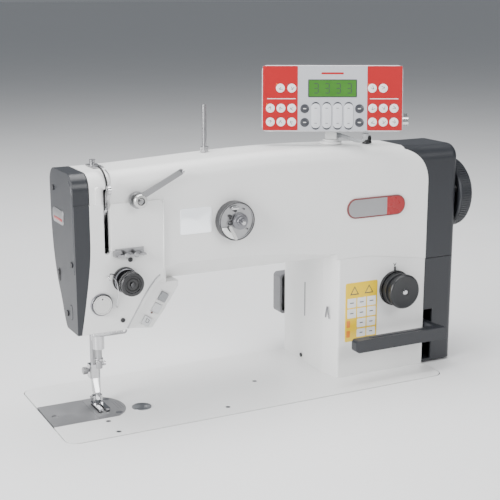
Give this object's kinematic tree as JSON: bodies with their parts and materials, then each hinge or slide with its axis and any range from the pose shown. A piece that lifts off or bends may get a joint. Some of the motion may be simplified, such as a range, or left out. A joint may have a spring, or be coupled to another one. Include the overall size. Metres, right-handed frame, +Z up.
{
  "type": "sewing machine",
  "caption": "Industrial flat-bed lockstitch sewing machine head with arm, column, needle and presser bars, stitch dial, reverse lever, handwheel and a swivelling control panel.",
  "frame": {"origin": "on the needle's axis, in the flat bottom of the oil pan", "axes": "+X along the arm towards the handwheel, +Y to the machine's back, +Z up"},
  "size_m": [0.542, 0.196, 0.468],
  "materials": {
    "white_paint": "fine-textured white enamel",
    "bed_paint": "smooth white enamel on cast iron",
    "dark_cover": "satin dark grey moulding",
    "dark_gloss": "smooth dark grey moulding",
    "white_plastic": "smooth white moulding",
    "grey_key": "satin grey key",
    "light_key": "satin light grey key",
    "chrome": "polished chrome",
    "ground_steel": "ground steel",
    "plate_steel": "finely brushed steel",
    "machined_steel": "machined steel",
    "bronze": "sintered bronze",
    "pan_paint": "grey enamel",
    "belt_rubber": "matt black rubber",
    "magnet": "plated magnet steel",
    "laminate": "varnished laminations",
    "label_film": "printed film",
    "lead_jacket": "grey cable jacket",
    "panel_plastic": "printed red and grey foil on a moulded case",
    "lamp": "small lamp lens"
  },
  "bodies": {
    "frame": {"bed_casting": "bed_paint", "oil_pan": "pan_paint", "needle_plate": "plate_steel", "bed_disc_cover": "plate_steel", "bed_screws": "machined_steel", "arm_casting": "white_paint", "face_cover": "dark_cover", "cover_screws": "machined_steel", "rear_cover": "white_paint", "rear_connector_cover": "dark_cover", "end_cover_upper": "dark_cover", "end_cover_lower": "dark_cover", "motor_stator": "laminate", "timing_belt": "belt_rubber", "shaft_bushes": "bronze", "bar_bushes": "bronze", "bobbin_case": "ground_steel", "tension_unit": "dark_gloss", "thread_guides": "chrome", "thread_post": "chrome", "winder_housing": "white_plastic", "label_plates": "label_film", "dial_ring": "dark_gloss", "key_housing": "white_plastic", "status_led": "lamp", "panel_post": "white_plastic", "oil_plug": "dark_gloss"},
    "main_drive": {"main_shaft": "machined_steel", "crank_counterweight": "machined_steel", "motor_rotor": "magnet", "handwheel": "dark_cover"},
    "hook_drive": {"hook_shaft": "machined_steel", "rotary_hook": "ground_steel"},
    "bobbin": {"bobbin": "ground_steel"},
    "needle_bar": {"needle_bar": "ground_steel", "needle_clamp": "chrome", "needle": "ground_steel"},
    "take_up_lever": {"take_up_lever": "chrome"},
    "presser_bar": {"presser_bar": "ground_steel", "presser_shank": "ground_steel", "presser_thumb_screw": "ground_steel"},
    "presser_sole": {"presser_sole": "chrome"},
    "presser_lift_lever": {"presser_lift_lever": "chrome"},
    "feed_bar": {"feed_bar": "machined_steel"},
    "feed_dog": {"feed_dog": "machined_steel"},
    "slide_plate": {"slide_plate": "plate_steel"},
    "tension_knob": {"tension_knob": "dark_gloss"},
    "pretension_knob": {"pretension_knob": "chrome"},
    "winder_spindle": {"winder_spindle": "chrome"},
    "winder_lever": {"winder_lever": "chrome"},
    "stitch_dial": {"stitch_dial": "dark_gloss"},
    "reverse_lever": {"reverse_lever": "dark_gloss"},
    "thread_key": {"thread_key": "grey_key"},
    "half_stitch_key": {"half_stitch_key": "light_key"},
    "backtack_key": {"backtack_key": "light_key"},
    "quick_button": {"quick_button": "chrome"},
    "panel_yoke": {"panel_yoke": "white_plastic", "panel_lead": "lead_jacket"},
    "panel": {"panel_case": "panel_plastic"},
    "panel_clamp_knob": {"panel_clamp_knob": "dark_gloss"}
  },
  "joints": [
    {"name": "main_shaft_turn", "type": "hinge", "parent": "frame", "child": "main_drive", "pos_m": [0.3, 0, 0.304], "axis": [1, 0, 0], "continuous": true},
    {"name": "hook_turn", "type": "hinge", "parent": "frame", "child": "hook_drive", "pos_m": [0.1, 0, 0.062], "axis": [1, 0, 0], "continuous": true},
    {"name": "bobbin_turn", "type": "hinge", "parent": "frame", "child": "bobbin", "pos_m": [-0.0155, 0, 0.062], "axis": [1, 0, 0], "continuous": true},
    {"name": "needle_bar_travel", "type": "slide", "parent": "frame", "child": "needle_bar", "axis": [0, 0, 1], "range_m": [-0.0292, 0.0015]},
    {"name": "take_up_swing", "type": "hinge", "parent": "frame", "child": "take_up_lever", "pos_m": [0, -0.018, 0.307], "axis": [1, 0, 0], "range_deg": [0, 68]},
    {"name": "presser_travel", "type": "slide", "parent": "frame", "child": "presser_bar", "axis": [0, 0, 1], "range_m": [0, 0.0058]},
    {"name": "presser_sole_tilt", "type": "hinge", "parent": "presser_bar", "child": "presser_sole", "pos_m": [0, 0.011, 0.1045], "axis": [1, 0, 0], "range_deg": [-4, 3], "stiffness_Nm_per_rad": 0.05},
    {"name": "presser_lift_turn", "type": "hinge", "parent": "frame", "child": "presser_lift_lever", "pos_m": [0.006, 0.045, 0.335], "axis": [0, 1, 0], "range_deg": [0, 80]},
    {"name": "feed_lift", "type": "slide", "parent": "frame", "child": "feed_bar", "axis": [0, 0, 1], "range_m": [-0.0008, 0.0012]},
    {"name": "feed_advance", "type": "slide", "parent": "feed_bar", "child": "feed_dog", "axis": [0, 1, 0], "range_m": [-0.0022, 0.0022]},
    {"name": "slide_plate_travel", "type": "slide", "parent": "frame", "child": "slide_plate", "axis": [-1, 0, 0], "range_m": [0, 0.045]},
    {"name": "tension_knob_turn", "type": "hinge", "parent": "frame", "child": "tension_knob", "pos_m": [0.0175, -0.062, 0.252], "axis": [0, -1, 0], "range_deg": [-180, 180]},
    {"name": "pretension_turn", "type": "hinge", "parent": "frame", "child": "pretension_knob", "pos_m": [0.033, -0.0535, 0.3375], "axis": [0, -1, 0], "range_deg": [-180, 180]},
    {"name": "winder_spindle_turn", "type": "hinge", "parent": "frame", "child": "winder_spindle", "pos_m": [0.1505, -0.052, 0.3045], "axis": [0, -1, 0], "continuous": true},
    {"name": "winder_lever_turn", "type": "hinge", "parent": "frame", "child": "winder_lever", "pos_m": [0.1385, -0.052, 0.2975], "axis": [0, -1, 0], "range_deg": [-12, 12]},
    {"name": "stitch_dial_turn", "type": "hinge", "parent": "frame", "child": "stitch_dial", "pos_m": [0.3665, -0.05, 0.199], "axis": [0, -1, 0], "range_deg": [-150, 150]},
    {"name": "reverse_lever_turn", "type": "hinge", "parent": "frame", "child": "reverse_lever", "pos_m": [0.417, 0.008, 0.143], "axis": [1, 0, 0], "range_deg": [0, 20], "stiffness_Nm_per_rad": 4, "springref_deg": -4.58},
    {"name": "thread_key_travel", "type": "slide", "parent": "frame", "child": "thread_key", "axis": [0, 1, 0], "range_m": [0, 0.001], "stiffness_N_per_m": 800},
    {"name": "half_stitch_key_travel", "type": "slide", "parent": "frame", "child": "half_stitch_key", "axis": [0, 1, 0], "range_m": [0, 0.001], "stiffness_N_per_m": 800},
    {"name": "backtack_key_travel", "type": "slide", "parent": "frame", "child": "backtack_key", "axis": [0, 1, 0], "range_m": [0, 0.001], "stiffness_N_per_m": 800},
    {"name": "quick_button_travel", "type": "slide", "parent": "frame", "child": "quick_button", "axis": [0, 1, 0], "range_m": [0, 0.0015], "stiffness_N_per_m": 600},
    {"name": "panel_swivel", "type": "hinge", "parent": "frame", "child": "panel_yoke", "pos_m": [0.296, 0, 0.381], "axis": [0, 0, 1], "range_deg": [-40, 30]},
    {"name": "panel_tilt", "type": "hinge", "parent": "panel_yoke", "child": "panel", "pos_m": [0.296, 0, 0.401], "axis": [0.8854, -0.4648, 0], "range_deg": [-12, 7]},
    {"name": "panel_clamp_turn", "type": "hinge", "parent": "panel", "child": "panel_clamp_knob", "pos_m": [0.28797, -0.0153, 0.40374], "axis": [0.8854, -0.4648, 0], "range_deg": [-60, 60]}
  ],
  "couplings": [
    {"joint": "hook_turn", "follows": "main_shaft_turn", "ratio": 2},
    {"joint": "presser_lift_turn", "follows": "presser_travel", "rad_per_m": 240.43}
  ]
}
